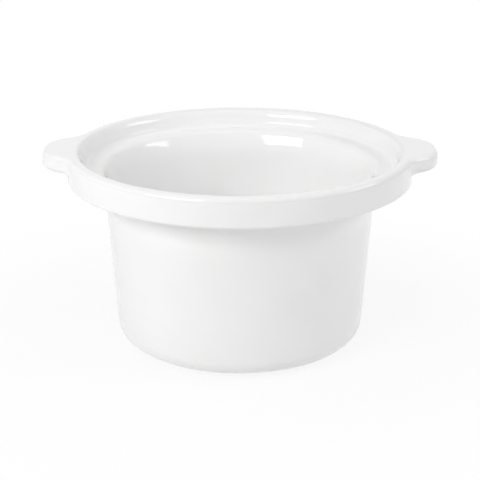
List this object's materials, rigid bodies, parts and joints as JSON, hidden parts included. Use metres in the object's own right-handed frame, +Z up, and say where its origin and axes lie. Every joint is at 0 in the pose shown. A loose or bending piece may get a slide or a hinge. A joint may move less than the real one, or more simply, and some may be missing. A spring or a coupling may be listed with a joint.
{
  "type": "slow cooker crock",
  "caption": "Round stoneware slow-cooker crock with a tapered bowl, skirted rim, stepped lid ledge and lug handles, glazed all over except its bare foot.",
  "frame": {"origin": "centre of the foot, on the surface the crock stands on", "axes": "+X through the handles, +Z up out of the mouth"},
  "size_m": [0.286, 0.25, 0.144],
  "materials": {
    "stoneware": "bare fired clay, matt and fine-grained",
    "glaze": "smooth white gloss glaze"
  },
  "bodies": {
    "root": {"stoneware_body": "stoneware", "glaze_coat": "glaze"}
  },
  "joints": []
}
